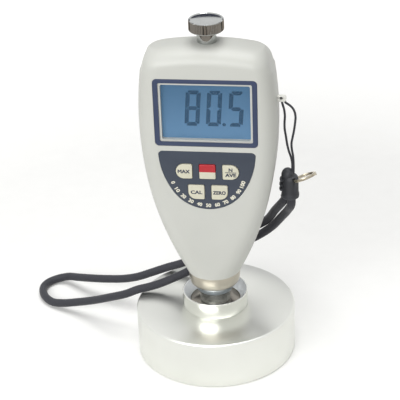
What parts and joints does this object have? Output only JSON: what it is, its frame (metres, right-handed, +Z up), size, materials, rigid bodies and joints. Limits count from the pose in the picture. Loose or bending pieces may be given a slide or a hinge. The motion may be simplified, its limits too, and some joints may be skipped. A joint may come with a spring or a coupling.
{
  "type": "digital durometer on its base",
  "caption": "Hand-held digital hardness tester with a shield-shaped case, display, keypad, probe and thumb screw, standing in the seat ring of a round metal base, with a wrist strap.",
  "frame": {"origin": "centre of the base's underside", "axes": "+Z up along the probe's axis, the display faces -Y, +X is the side with the strap"},
  "size_m": [0.1497, 0.0906, 0.1735],
  "materials": {
    "blasted_aluminium": "fine blasted and clear anodised",
    "turned_aluminium": "turned and polished",
    "polished_steel": "ground and polished",
    "nickel": "satin nickel plate",
    "brass": "turned",
    "hard_steel": "hardened and ground",
    "coil_copper": "enamelled winding",
    "case_plastic": "fine texture moulding",
    "cell_jacket": "film wrapped",
    "blue_panel": "satin film",
    "clear_window": "polished",
    "lcd_glass": "polarised glass",
    "white_plastic": "moulded",
    "board_green": "solder resist",
    "key_cream": "moulded",
    "key_red": "moulded",
    "black_plastic": "moulded",
    "chrome_plate": "polished chrome plate",
    "black_braid": "braided",
    "black_rubber": "moulded",
    "ring_nickel": "bright plate"
  },
  "bodies": {
    "tester": {"base_block": "blasted_aluminium", "seat_ring": "turned_aluminium", "anvil": "polished_steel", "pressure_foot": "polished_steel", "probe_collar": "nickel", "probe_barrel": "polished_steel", "barrel_nut": "brass", "barrel_cap": "polished_steel", "indenter_spring": "hard_steel", "travel_sensor": "coil_copper", "front_shell": "case_plastic", "rear_shell": "case_plastic", "case_screws": "hard_steel", "battery_cells": "cell_jacket", "battery_contacts": "nickel", "display_bezel": "blue_panel", "display_window": "clear_window", "lcd_panel": "lcd_glass", "lcd_backlight": "white_plastic", "circuit_board": "board_green", "keypad_panel": "blue_panel", "key_switches": "black_plastic", "top_bush": "brass", "strap_lug": "white_plastic", "string_inner": "black_braid", "string_outer": "black_braid", "strap_sleeve": "black_rubber", "split_ring": "ring_nickel", "wrist_cord": "black_braid"},
    "indenter": {"indenter": "hard_steel"},
    "battery_door": {"battery_door": "case_plastic"},
    "hold_key": {"hold_key": "key_cream"},
    "power_key": {"power_key": "key_red"},
    "average_key": {"average_key": "key_cream"},
    "set_key": {"set_key": "key_cream"},
    "zero_key": {"zero_key": "key_cream"},
    "knob_stud": {"knob_stud": "chrome_plate"},
    "top_knob": {"top_knob": "chrome_plate"}
  },
  "joints": [
    {"name": "indenter_travel", "type": "slide", "parent": "tester", "child": "indenter", "axis": [0, 0, 1], "range_m": [0, 0.0025], "stiffness_N_per_m": 3000, "springref_m": -0.00018, "deforming": ["indenter_spring"]},
    {"name": "door_swing", "type": "hinge", "parent": "tester", "child": "battery_door", "pos_m": [0, 0.012, 0.1363], "axis": [1, 0, 0], "range_deg": [0, 90]},
    {"name": "hold_press", "type": "slide", "parent": "tester", "child": "hold_key", "axis": [0, 1, 0], "range_m": [0, 0.0006], "stiffness_N_per_m": 2500},
    {"name": "power_press", "type": "slide", "parent": "tester", "child": "power_key", "axis": [0, 1, 0], "range_m": [0, 0.0006], "stiffness_N_per_m": 2500},
    {"name": "average_press", "type": "slide", "parent": "tester", "child": "average_key", "axis": [0, 1, 0], "range_m": [0, 0.0006], "stiffness_N_per_m": 2500},
    {"name": "set_press", "type": "slide", "parent": "tester", "child": "set_key", "axis": [0, 1, 0], "range_m": [0, 0.0006], "stiffness_N_per_m": 2500},
    {"name": "zero_press", "type": "slide", "parent": "tester", "child": "zero_key", "axis": [0, 1, 0], "range_m": [0, 0.0006], "stiffness_N_per_m": 2500},
    {"name": "knob_rise", "type": "slide", "parent": "tester", "child": "knob_stud", "axis": [0, 0, 1], "range_m": [0, 0.007]},
    {"name": "knob_turn", "type": "hinge", "parent": "knob_stud", "child": "top_knob", "pos_m": [0, 0, 0.17], "axis": [0, 0, 1], "range_deg": [0, 2520]}
  ],
  "couplings": [
    {"joint": "knob_rise", "follows": "knob_turn", "m_per_rad": 0.00015915}
  ]
}
